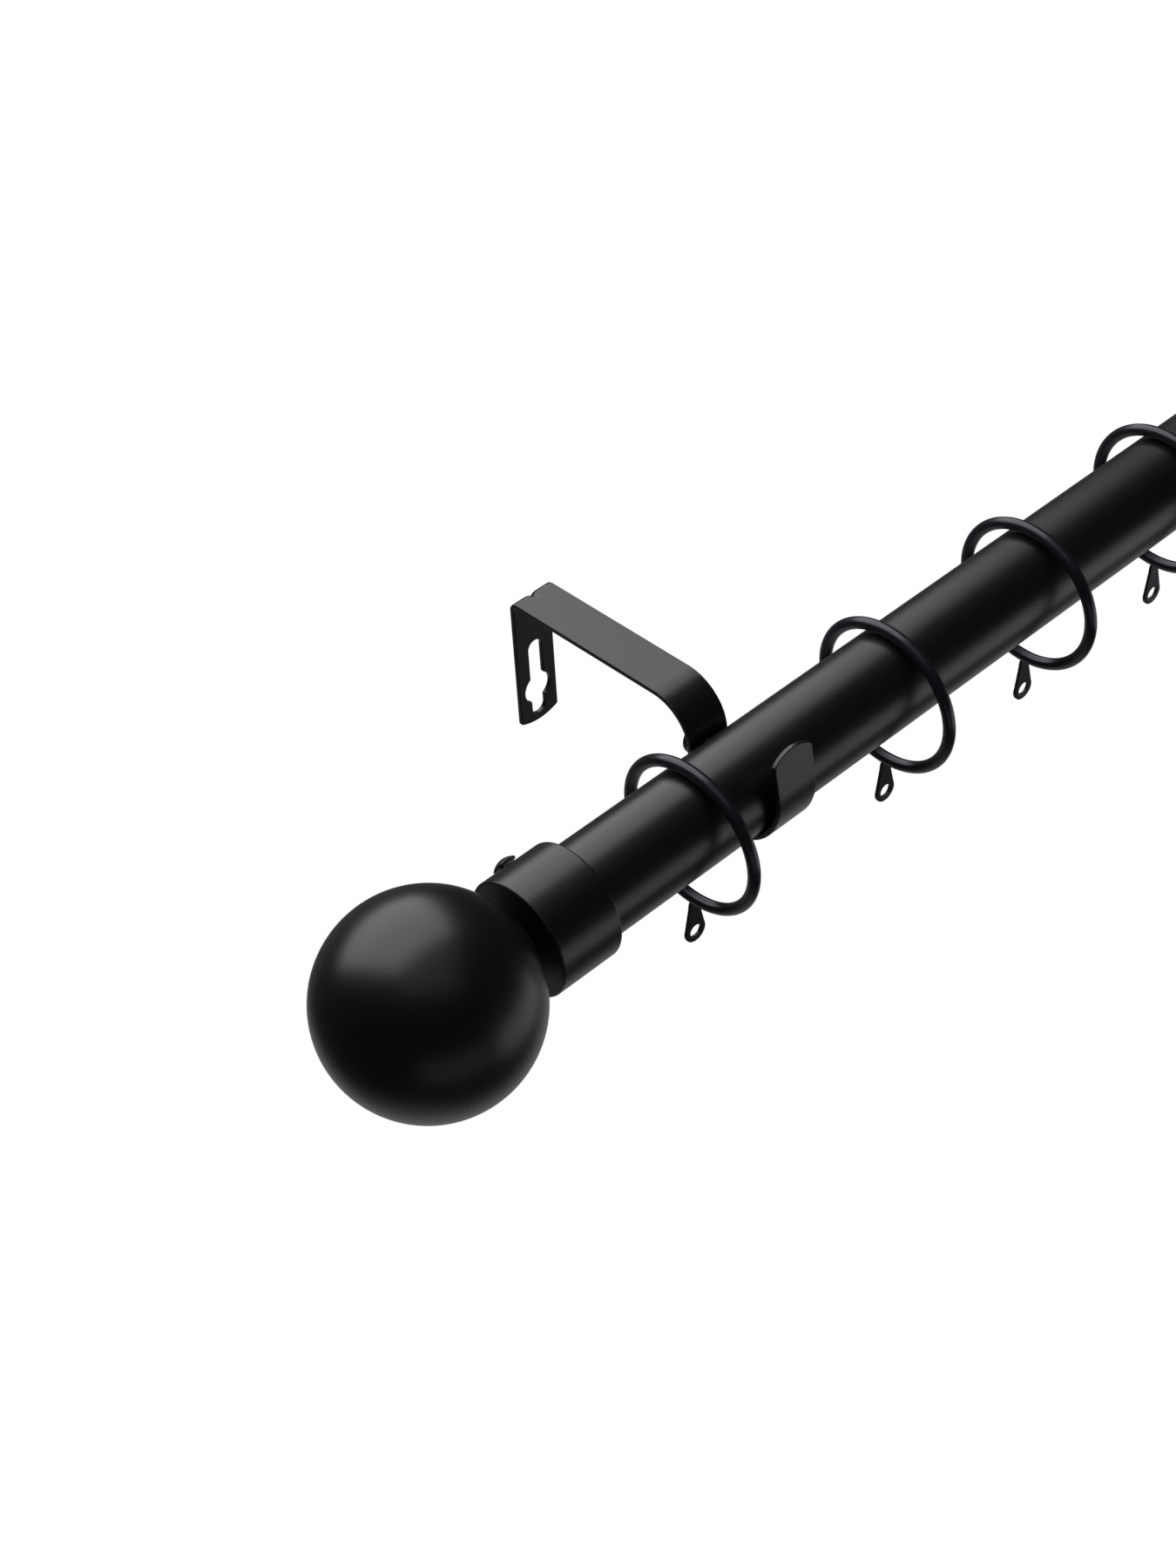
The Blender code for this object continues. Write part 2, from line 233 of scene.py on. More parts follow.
def paint(name):
    # satin lacquer over steel: cloudy tone, orange peel, fine grain, dust nibs, thin spots on edges
    look = finishes[name]
    material, graph, shader, place = finish(name)
    cloud = noise(graph, place, lacquer["cloudSize"], 3)
    peel = noise(graph, place, look["peelSize"], 1.5)
    grain = noise(graph, place, look["peelSize"] / 6, 2)
    tone = cloud * 0.6 + grain * 0.4
    height = peel * look["peelDepth"] + grain * look["grainDepth"]
    rough = look["roughness"] + (cloud - 0.5) * look["spread"]
    rough = rough + (grain - 0.5) * (look["spread"] * 0.8)
    if look["drawn"]:
        streak = noise(graph, place, lacquer["streakSize"], 3, lacquer["streakStretch"])
        rough = rough + (streak - 0.5) * look["drawn"]
        tone = tone * 0.75 + streak * 0.25
    if look["seam"]:
        axes = graph.node("ShaderNodeSeparateXYZ", {}, {"Vector": place})
        across = axes["Y"] - rodAxis.y
        up = axes["Z"] - rodAxis.z
        angle = graph.calc("ARCTAN2", up, across)
        offLine = abs(angle - math.radians(lacquer["seamAngle"])) * rodRadius
        ripple = noise(graph, place, lacquer["seamRipple"], 1)
        bead = 1 - graph.step(offLine, lacquer["seamInside"], lacquer["seamOutside"])
        height = height + bead * (0.7 + ripple * 0.6) * look["seam"]
        rough = rough + bead * 0.05
    cells = cellular(graph, place, lacquer["nibSpacing"])
    chance = graph.node("ShaderNodeSeparateColor", {}, {"Color": cells["Color"]})
    nib = 1 - graph.step(cells["Distance"], lacquer["nibInside"], lacquer["nibOutside"])
    nib = nib * (chance["Red"] > 1 - look["dust"])
    height = height + nib * lacquer["nibHeight"]
    worn = graph.rub()
    patch = graph.step(noise(graph, place, lacquer["patchSize"], 4), 0.52, 0.68)
    thin = worn * patch * look["rub"]
    colour = graph.tint(tone, look["dark"], look["light"])
    colour = graph.tint(nib * 0.35, colour, lacquer["nibColour"])
    colour = graph.tint(thin, colour, lacquer["thinColour"])
    feed(graph, shader, {
        "Base Color": colour, "Roughness": rough + thin * 0.1, "Metallic": thin * 0.5,
        "Normal": relief(graph, height),
    }, {"Specular IOR Level": 0.5, "Specular Tint": look["gleam"]})
    return material


screwSteel = {
    "dark": (0.010, 0.010, 0.011), "light": (0.030, 0.029, 0.028), "bare": (0.30, 0.29, 0.28),
    "roughness": 0.34, "turning": 0.00011, "turningDepth": 0.0000016, "cloudSize": 0.0016,
    "grainSize": 0.00022, "grainDepth": 0.000003,
}


def blackenedSteel():
    # oxide-blackened screw: patchy oxide, turning marks, bright spots on its edges
    look = screwSteel
    material, graph, shader, place = finish("blackenedSteel")
    cloud = noise(graph, place, look["cloudSize"], 4)
    grain = noise(graph, place, look["grainSize"], 2)
    tone = cloud * 0.7 + grain * 0.3
    marks = noise(graph, place, look["turning"], 1, (0.15, 1, 1))
    worn = graph.rub()
    bare = worn * graph.step(cloud, 0.50, 0.66) * 0.55
    colour = graph.tint(bare, graph.tint(tone, look["dark"], look["light"]), look["bare"])
    height = marks * look["turningDepth"] + grain * look["grainDepth"]
    feed(graph, shader, {
        "Base Color": colour, "Roughness": look["roughness"] + (grain - 0.5) * 0.14 - bare * 0.1,
        "Metallic": 0.35 + bare * 0.6, "Normal": relief(graph, height),
    }, {})
    return material


zincLook = {
    "pale": (0.62, 0.62, 0.61), "blue": (0.42, 0.46, 0.55), "straw": (0.60, 0.53, 0.36),
    "roughness": 0.28, "bloomSize": 0.0035, "spangleSize": 0.0005, "grainSize": 0.00015,
    "grainDepth": 0.000002,
}


def brightZinc():
    # zinc plate with its faint blue and straw bloom
    look = zincLook
    material, graph, shader, place = finish("brightZinc")
    bloom = noise(graph, place, look["bloomSize"], 3)
    spangle = cellular(graph, place, look["spangleSize"])
    crystal = graph.node("ShaderNodeSeparateColor", {}, {"Color": spangle["Color"]})["Green"]
    colour = graph.tint(graph.step(bloom, 0.48, 0.62) * 0.5, look["pale"], look["blue"])
    colour = graph.tint(graph.step(bloom, 0.52, 0.36) * 0.4, colour, look["straw"])
    grain = noise(graph, place, look["grainSize"], 2)
    feed(graph, shader, {
        "Base Color": colour, "Roughness": look["roughness"] + (crystal - 0.5) * 0.12,
        "Normal": relief(graph, grain * look["grainDepth"]),
    }, {"Metallic": 1.0})
    return material


plasticLook = {
    "dark": (0.0075, 0.0075, 0.0078), "light": (0.0125, 0.0125, 0.0128), "roughness": 0.52,
    "erosionSize": 0.0004, "erosionDepth": 0.000012, "flowSize": 0.008, "grainSize": 0.0002,
    "grainDepth": 0.000004,
}


def mouldedPlastic():
    # matt spark-eroded nylon
    look = plasticLook
    material, graph, shader, place = finish("mouldedPlastic")
    erosion = cellular(graph, place, look["erosionSize"], "SMOOTH_F1")
    flow = noise(graph, place, look["flowSize"], 3)
    grain = noise(graph, place, look["grainSize"], 2)
    height = erosion["Distance"] * look["erosionDepth"] + grain * look["grainDepth"]
    worn = graph.rub()
    colour = graph.tint(flow * 0.7 + grain * 0.3, look["dark"], look["light"])
    rough = look["roughness"] + (grain - 0.5) * 0.12 - worn * 0.12
    links = {"Base Color": colour, "Roughness": rough, "Normal": relief(graph, height)}
    feed(graph, shader, links, {"Specular IOR Level": 0.45})
    return material


print("finishes")
tubePaint = paint("tubePaint")
slidingTubePaint = paint("slidingTubePaint")
finialPaint = paint("finialPaint")
bracketPaint = paint("bracketPaint")
ringPaint = paint("ringPaint")
screwBlack = blackenedSteel()
studZinc = brightZinc()
coverPlastic = mouldedPlastic()


def arc(centre, radius, start, end, steps):
    # angles in degrees
    points = []
    for step in range(steps + 1):
        angle = math.radians(start + (end - start) * step / steps)
        points.append((centre[0] + radius * math.cos(angle), centre[1] + radius * math.sin(angle)))
    return points


def rounded(corners, steps=5):
    # corners are (across, up, rounding); the result is a fine closed outline
    outline = []
    for number, (across, up, reach) in enumerate(corners):
        here = Vector((across, up))
        if reach <= 0:
            outline.append((across, up))
            continue
        before = (Vector(corners[number - 1][:2]) - here).normalized()
        after = (Vector(corners[(number + 1) % len(corners)][:2]) - here).normalized()
        half = math.acos(max(-1.0, min(1.0, before.dot(after)))) / 2
        middle = here + (before + after).normalized() * (reach / math.sin(half))
        first = here + before * (reach / math.tan(half)) - middle
        last = here + after * (reach / math.tan(half)) - middle
        start = math.atan2(first.y, first.x)
        sweep = math.remainder(math.atan2(last.y, last.x) - start, 2 * math.pi)
        outline += arc(middle, reach, math.degrees(start), math.degrees(start + sweep), steps)
    return outline


def aim(point, direction):
    # local Z points along the direction
    return Matrix.Translation(point) @ Vector(direction).to_track_quat("Z", "Y").to_matrix().to_4x4()


def meshOf(build):
    # ends a bmesh as a mesh
    mesh = bpy.data.meshes.new("built")
    build.to_mesh(mesh)
    build.free()
    return mesh


def holderOf(mesh):
    holder = bpy.data.objects.new("holder", mesh)
    bpy.context.scene.collection.objects.link(holder)
    return holder


def plainMesh(holder):
    # the evaluated object as a plain mesh, its modifiers gone
    bpy.context.view_layer.update()
    graph = bpy.context.evaluated_depsgraph_get()
    mesh = bpy.data.meshes.new_from_object(
        holder.evaluated_get(graph), preserve_all_data_layers=True, depsgraph=graph)
    bpy.data.objects.remove(holder, do_unlink=True)
    return mesh


# rub starts at this curvature and is full one span above it, in 1 / metre
rubCurvature = {"start": 900, "span": 700}


def markEdges(mesh):
    # "rub" is 1 on tight convex roundings and 0 on open faces
    build = bmesh.new()
    build.from_mesh(mesh)
    layer = build.faces.layers.float.get("rub") or build.faces.layers.float.new("rub")
    for face in build.faces:
        bend = 0
        for edge in face.edges:
            if len(edge.link_faces) == 2:
                bend += max(0.0, edge.calc_face_angle_signed(0.0)) / 2
        width = face.calc_area() / max(edge.calc_length() for edge in face.edges)
        curvature = bend / max(width, 1e-6)
        wear = (curvature - rubCurvature["start"]) / rubCurvature["span"]
        face[layer] = min(1.0, max(0.0, wear))
    build.to_mesh(mesh)
    build.free()


def polish(mesh, angle=40):
    # smooth shading that keeps the flats flat
    markEdges(mesh)
    mesh.shade_smooth()
    mesh.set_sharp_from_angle(angle=math.radians(angle))
    holder = holderOf(mesh)
    normals = holder.modifiers.new("normals", "WEIGHTED_NORMAL")
    normals.keep_sharp = True
    normals.weight = 50
    return plainMesh(holder)


def settle(name, mesh, node, material):
    # one finished piece that stands for one CAD node
    mesh.name = name
    mesh.materials.clear()
    mesh.materials.append(material)
    piece = bpy.data.objects.new(name, mesh)
    bpy.context.scene.collection.objects.link(piece)
    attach(piece, bodyOfNode[node])
    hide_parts(node)
    return piece


def turned(outline, closed, steps, matrix):
    # outline is (out from the axis, along it)
    build = bmesh.new()
    points = [build.verts.new((out, 0, along)) for out, along in outline]
    edges = [build.edges.new(pair) for pair in zip(points, points[1:])]
    if closed:
        edges.append(build.edges.new((points[-1], points[0])))
    bmesh.ops.spin(build, geom=points + edges, cent=(0, 0, 0), axis=(0, 0, 1), angle=2 * math.pi,
                   steps=steps, use_merge=True, use_duplicate=False)
    bmesh.ops.remove_doubles(build, verts=build.verts, dist=0.0000005)
    bmesh.ops.transform(build, matrix=matrix, verts=build.verts)
    bmesh.ops.recalc_face_normals(build, faces=build.faces)
    return meshOf(build)


def carve(mesh, cutter):
    # cuts the cutter mesh out of the mesh
    holder = holderOf(mesh)
    blade = holderOf(cutter)
    boolean = holder.modifiers.new("cut", "BOOLEAN")
    boolean.operation = "DIFFERENCE"
    boolean.solver = "EXACT"
    boolean.object = blade
    result = plainMesh(holder)
    bpy.data.objects.remove(blade, do_unlink=True)
    # slivers that the cut left behind
    build = bmesh.new()
    build.from_mesh(result)
    bmesh.ops.remove_doubles(build, verts=build.verts, dist=0.000007)
    bmesh.ops.dissolve_degenerate(build, edges=build.edges, dist=0.000007)
    return meshOf(build)


def block(width, depth, height, matrix):
    # a box-shaped cutter about its middle
    build = bmesh.new()
    bmesh.ops.create_cube(build, size=1)
    for vert in build.verts:
        vert.co = Vector((vert.co.x * width, vert.co.y * depth, vert.co.z * height))
    bmesh.ops.transform(build, matrix=matrix, verts=build.verts)
    return meshOf(build)


def offsetOutline(outline, reach):
    # moves a closed outline to its left
    moved = []
    for number, point in enumerate(outline):
        here = Vector(point)
        before = here - Vector(outline[number - 1])
        after = Vector(outline[(number + 1) % len(outline)]) - here
        first = Vector((-before.y, before.x)).normalized()
        second = Vector((-after.y, after.x)).normalized()
        moved.append(here + (first + second) * (reach / (1 + first.dot(second))))
    return moved


def sheetBlank(outlines, thickness, edge, steps=4):
    # flat pressing: the first outline runs anticlockwise, holes run clockwise, edges are rounded
    build = bmesh.new()
    faceEdges = {1: [], -1: []}
    for outline in outlines:
        rings = []
        for side in (1, -1):
            for step in range(steps + 1):
                angle = math.radians(90 * step / steps)
                inset = edge * (1 - math.sin(angle))
                level = side * (thickness / 2 - edge * (1 - math.cos(angle)))
                ring = [build.verts.new((*point, level)) for point in offsetOutline(outline, inset)]
                rings.append((side, step, ring))
        top = [ring for side, step, ring in rings if side == 1]
        low = [ring for side, step, ring in rings if side == -1]
        chain = top + low[::-1]
        for upper, under in zip(chain, chain[1:]):
            for number in range(len(outline)):
                near = number - 1
                build.faces.new((upper[near], under[near], under[number], upper[number]))
        for side, ring in ((1, chain[0]), (-1, chain[-1])):
            for number in range(len(outline)):
                pair = (ring[number - 1], ring[number])
                faceEdges[side].append(build.edges.get(pair) or build.edges.new(pair))
    for side in (1, -1):
        bmesh.ops.triangle_fill(build, use_beauty=True, use_dissolve=False, edges=faceEdges[side])
    bmesh.ops.recalc_face_normals(build, faces=build.faces)
    return build


def makeTree(name, sizes):
    # a Geometry Nodes tree with named size inputs
    tree = bpy.data.node_groups.new(name, "GeometryNodeTree")
    kinds = {int: "NodeSocketInt", float: "NodeSocketFloat", tuple: "NodeSocketVector"}
    tree.interface.new_socket(name="Body", in_out="INPUT", socket_type="NodeSocketGeometry")
    for label, value in sizes.items():
        socket = tree.interface.new_socket(name=label, in_out="INPUT", socket_type=kinds[type(value)])
        socket.default_value = value
    tree.interface.new_socket(name="Finish", in_out="INPUT", socket_type="NodeSocketMaterial")
    tree.interface.new_socket(name="Result", in_out="OUTPUT", socket_type="NodeSocketGeometry")
    graph = Graph(tree)
    return graph, graph.node("NodeGroupInput")


def endTree(graph, inputs, geometry):
    smooth = graph.node("GeometryNodeSetShadeSmooth", {}, {"Geometry": geometry})
    plain = graph.node("GeometryNodeRealizeInstances", {}, {"Geometry": smooth})
    coated = graph.node("GeometryNodeSetMaterial", {}, {"Geometry": plain, "Material": inputs["Finish"]})
    graph.node("NodeGroupOutput", {}, {"Result": coated})
    return graph.tree


def grow(tree, sizes, material, mesh=None):
    # runs a tree and returns its plain mesh
    holder = holderOf(mesh or bpy.data.meshes.new("seed"))
    modifier = holder.modifiers.new("grow", "NODES")
    modifier.node_group = tree
    for item in tree.interface.items_tree:
        if item.in_out == "INPUT" and item.name in sizes:
            modifier[item.identifier] = sizes[item.name]
        if item.name == "Finish":
            modifier[item.identifier] = material
    return plainMesh(holder)


print("tubes")
tubeSizes = {"wall": 0.0008, "edge": 0.00025, "steps": 144, "bays": 12}


def tube(name, node, material):
    # its long sides are cut in bays
    low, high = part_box(node)
    radius = (high.z - low.z) / 2
    bore = radius - tubeSizes["wall"]
    edge = tubeSizes["edge"]
    section = rounded([
        (radius, low.x, edge), (radius, high.x, edge), (bore, high.x, edge), (bore, low.x, edge),
    ])
    outline = []
    for number, point in enumerate(section):
        outline.append(point)
        following = section[(number + 1) % len(section)]
        if abs(following[1] - point[1]) > 0.1:
            for bay in range(1, tubeSizes["bays"]):
                share = bay / tubeSizes["bays"]
                outline.append((point[0], point[1] + (following[1] - point[1]) * share))
    mesh = turned(outline, True, tubeSizes["steps"], aim(rodAxis, (1, 0, 0)))
    settle(name, polish(mesh), node, material)


tube("outerTube", "outer_tube", tubePaint)
tube("innerTube", "inner_tube", slidingTubePaint)


def ridgeTree():
    # a body with straight ridges standing around it
    graph, inputs = makeTree("ridgesRound", {
        "Count": 40, "Ring radius": 0.004, "Ridge radius": 0.0004, "Ridge length": 0.002, "Height": 0.0,
    })
    ring = graph.node("GeometryNodeCurvePrimitiveCircle", {"mode": "RADIUS"},
                      {"Resolution": inputs["Count"], "Radius": inputs["Ring radius"]})
    points = graph.node("GeometryNodeCurveToPoints", {"mode": "EVALUATED"}, {"Curve": ring})
    ridge = graph.node("GeometryNodeMeshCylinder", {"fill_type": "TRIANGLE_FAN"}, {
        "Vertices": 8, "Radius": inputs["Ridge radius"], "Depth": inputs["Ridge length"],
    })
    index = graph.node("GeometryNodeInputIndex")
    turn = graph.node("ShaderNodeCombineXYZ", {}, {"Z": index * (2 * math.pi) / inputs["Count"]})
    ridges = graph.node("GeometryNodeInstanceOnPoints", {}, {
        "Points": points, "Instance": ridge, "Rotation": turn,
    })
    lift = graph.node("ShaderNodeCombineXYZ", {}, {"Z": inputs["Height"]})
    raised = graph.node("GeometryNodeTransform", {}, {"Geometry": ridges, "Translation": lift})
    both = graph.node("GeometryNodeJoinGeometry", {}, {"Geometry": [inputs["Body"], raised]})
    return endTree(graph, inputs, both)


ridgesRound = ridgeTree()

print("joint cover")
coverSizes = {
    "bodyRadius": 0.01495, "edge": 0.0005, "ribs": 56, "ribRadius": 0.00045, "ribLength": 0.0052,
    "lip": 0.0012, "collar": 0.0015, "gap": 0.0003, "steps": 128,
}


def jointCover():
    low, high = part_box("joint_cover")
    outside = (high.z - low.z) / 2
    innerRadius = (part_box("inner_tube")[1].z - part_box("inner_tube")[0].z) / 2
    bore = rodRadius + coverSizes["gap"]
    guide = innerRadius + coverSizes["gap"]
    length = high.x - low.x
    body = coverSizes["bodyRadius"]
    edge = coverSizes["edge"]
    shelf = length - coverSizes["lip"]
    collar = coverSizes["collar"]
    outline = rounded([
        (guide, length, 0.0003), (outside, length, edge), (outside, length - collar, 0.0003),
        (body, length - collar - 0.0002, 0.0001), (body, collar * 0.8, 0.0001),
        (outside, collar * 0.6, 0.0003), (outside, 0, 0.0003), (bore, 0, 0.0003),
        (bore, shelf, 0.0001), (guide, shelf, 0.0002),
    ], 4)
    mesh = turned(outline, True, coverSizes["steps"], Matrix.Identity(4))
    mesh = grow(ridgesRound, {
        "Count": coverSizes["ribs"], "Ring radius": outside - coverSizes["ribRadius"],
        "Ridge radius": coverSizes["ribRadius"], "Ridge length": coverSizes["ribLength"],
        "Height": length / 2,
    }, coverPlastic, mesh)
    mesh.transform(aim(rodAxis + Vector((low.x, 0, 0)), (1, 0, 0)))
    settle("jointCover", polish(mesh, 50), "joint_cover", coverPlastic)


jointCover()


def threadTree():
    # a shank with a helical ridge that fades out at both ends
    graph, inputs = makeTree("screwThread", {
        "Core radius": 0.0014, "Crest radius": 0.0017, "Pitch": 0.0007, "Length": 0.003,
    })
    turns = inputs["Length"] / inputs["Pitch"]
    helix = graph.node("GeometryNodeCurveSpiral", {}, {
        "Resolution": 40, "Rotations": turns, "Start Radius": inputs["Core radius"],
        "End Radius": inputs["Core radius"], "Height": inputs["Length"],
    })
    share = graph.node("GeometryNodeSplineParameter")["Factor"]
    fade = graph.step(share, 0.0, 0.12) * (1 - graph.step(share, 0.90, 1.0))
    thinned = graph.node("GeometryNodeSetCurveRadius", {}, {"Curve": helix, "Radius": fade})
    crest = (inputs["Crest radius"] - inputs["Core radius"]) * 0.98
    tooth = graph.node("GeometryNodeCurvePrimitiveCircle", {"mode": "RADIUS"},
                       {"Resolution": 6, "Radius": crest})
    ridge = graph.node("GeometryNodeCurveToMesh", {}, {
        "Curve": thinned, "Profile Curve": tooth, "Fill Caps": True,
    })
    both = graph.node("GeometryNodeJoinGeometry", {}, {"Geometry": [inputs["Body"], ridge]})
    return endTree(graph, inputs, both)


screwThread = threadTree()
threadSizes = {"depth": 0.00028, "chamfer": 0.0004}


def threaded(length, radius, pitch, material):
    # a threaded shank from the origin along Z
    core = radius - threadSizes["depth"]
    chamfer = threadSizes["chamfer"]
    outline = [(0, 0), (core - chamfer, 0), (core, chamfer), (core, length - chamfer / 4),
               (core - chamfer / 4, length), (0, length)]
    body = turned(outline, False, 32, Matrix.Identity(4))
    return grow(screwThread, {
        "Core radius": core, "Crest radius": radius, "Pitch": pitch, "Length": length,
    }, material, body)


# how much narrower a cross recess is at its floor, and how far its cutter stands out above
crossSizes = {"taper": 0.45, "above": 0.0006}


def crossRecess(reach, blade, depth, top):
    # a cross-shaped cutter, pointing down from the top and narrower at its low end
    taper = crossSizes["taper"]
    far = reach / 2
    near = blade / 2
    outline = [
        (far, -near), (far, near), (near, near), (near, far), (-near, far), (-near, near),
        (-far, near), (-far, -near), (-near, -near), (-near, -far), (near, -far), (near, -near),
    ]
    build = bmesh.new()
    high = [build.verts.new((across, up, top + crossSizes["above"])) for across, up in outline]
    low = [build.verts.new((across * taper, up * taper, top - depth)) for across, up in outline]
    build.faces.new(high)
    build.faces.new(low[::-1])
    for number in range(len(outline)):
        build.faces.new((high[number - 1], low[number - 1], low[number], high[number]))
    bmesh.ops.recalc_face_normals(build, faces=build.faces)
    return meshOf(build)


setScrewSizes = {
    "tilt": 28, "pitch": 0.0007, "dome": 0.0014, "rim": 0.0004, "corner": 0.0002, "recess": 0.0030,
    "blade": 0.0007, "recessDepth": 0.0008, "tipGap": 0.0003, "capGap": 0.0002, "headGap": 0.0003,
}
clampScrewSizes = {
    "pitch": 0.0007, "slotWidth": 0.0011, "slotDepth": 0.0009, "foot": 0.0004, "shoulder": 0.0006,
    "crown": 0.0014,
}


def screwWay():
    # the direction that the set screws point in, out of the cap
    tilt = math.radians(setScrewSizes["tilt"])
    return Vector((0, math.cos(tilt), math.sin(tilt)))


def tubeRadiusAt(side):
    # the left finial sits on the outer tube, the right one on the inner tube
    return rodRadius if side == "left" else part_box("inner_tube")[1].z - rodAxis.z


def setScrew(side):
    sizes = setScrewSizes
    stemLow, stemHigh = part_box("set_screw_stem_" + side)
    headLow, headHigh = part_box("set_screw_head_" + side)
    outward = screwWay()
    along = (stemLow.x + stemHigh.x) / 2
    stemRadius = (stemHigh.x - stemLow.x) / 2
    headRadius = (headHigh.x - headLow.x) / 2
    start = tubeRadiusAt(side) + sizes["tipGap"]
    shoulder = (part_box("finial_cap_" + side)[1].z - rodAxis.z) + sizes["capGap"]
    centre = rodAxis + Vector((along, 0, 0))
    stem = threaded(shoulder - start, stemRadius, sizes["pitch"], screwBlack)
    stem.transform(aim(centre + outward * start, outward))
    stem = polish(stem, 50)
    settle("setScrewStem" + side.title(), stem, "set_screw_stem_" + side, screwBlack)

    rim = sizes["rim"]
    dome = sizes["dome"]
    corner = sizes["corner"]
    curve = (headRadius ** 2 + dome ** 2) / (2 * dome)
    reach = math.degrees(math.asin(headRadius / curve))
    crown = arc((0, rim + dome - curve), curve, 90, 90 - reach + 1.5, 14)
    crown[0] = (0, rim + dome)
    shoulderArc = arc((headRadius - corner, rim), corner, 40, 0, 3)
    footArc = arc((headRadius - corner, corner), corner, 0, -90, 3)
    outline = crown + shoulderArc + footArc + [(0, 0)]
    head = turned(outline, False, 64, Matrix.Identity(4))
    cross = crossRecess(sizes["recess"], sizes["blade"], sizes["recessDepth"], rim + dome)
    head = carve(head, cross)
    head.transform(aim(centre + outward * (shoulder + sizes["headGap"]), outward))
    head = polish(head, 35)
    settle("setScrewHead" + side.title(), head, "set_screw_head_" + side, screwBlack)


def clampScrew(side):
    sizes = clampScrewSizes
    stemLow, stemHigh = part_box("clamp_screw_stem_" + side)
    headLow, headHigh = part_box("clamp_screw_head_" + side)
    middle = (stemLow + stemHigh) / 2
    stemRadius = (stemHigh.x - stemLow.x) / 2
    backwards = (0, 1, 0)
    stem = threaded(stemHigh.y - stemLow.y, stemRadius, sizes["pitch"], screwBlack)
    stem.transform(aim((middle.x, stemLow.y, middle.z), backwards))
    stem = polish(stem, 50)
    settle("clampScrewStem" + side.title(), stem, "clamp_screw_stem_" + side, screwBlack)

    height = headHigh.y - headLow.y
    radius = (headHigh.x - headLow.x) / 2
    outline = rounded([
        (0, 0, 0), (radius, 0, sizes["foot"]), (radius, height * 0.72, sizes["shoulder"]),
        (radius * 0.66, height, sizes["crown"]), (0, height, 0),
    ], 6)
    head = turned(outline, False, 72, Matrix.Identity(4))
    top = Matrix.Translation((0, 0, height))
    slot = block(0.02, sizes["slotWidth"], sizes["slotDepth"] * 2, top)
    head = carve(head, slot)
    head.transform(aim((middle.x, headLow.y, middle.z), backwards))
    head = polish(head, 40)
    settle("clampScrewHead" + side.title(), head, "clamp_screw_head_" + side, screwBlack)


print("screws")
for side in sides:
    setScrew(side)
    clampScrew(side)


capSizes = {
    "rim": 0.0007, "endEdge": 0.0006, "wall": 0.002, "gap": 0.0003, "steps": 144, "screwHole": 0.0020,
    "screwPlace": 0.0095, "drillFrom": 0.010, "drillTo": 0.020,
}
ballSizes = {
    "wall": 0.0012, "boss": 0.0055, "bossDepth": 0.009, "hole": 0.0028, "steps": 144, "rise": 96,
    "seat": 0.0030,
}
studSizes = {
    "pitch": 0.0008, "radius": 0.0025, "headRadius": 0.0046, "headHeight": 0.0028, "recess": 0.0046,
    "blade": 0.0010, "recessDepth": 0.0014,
}


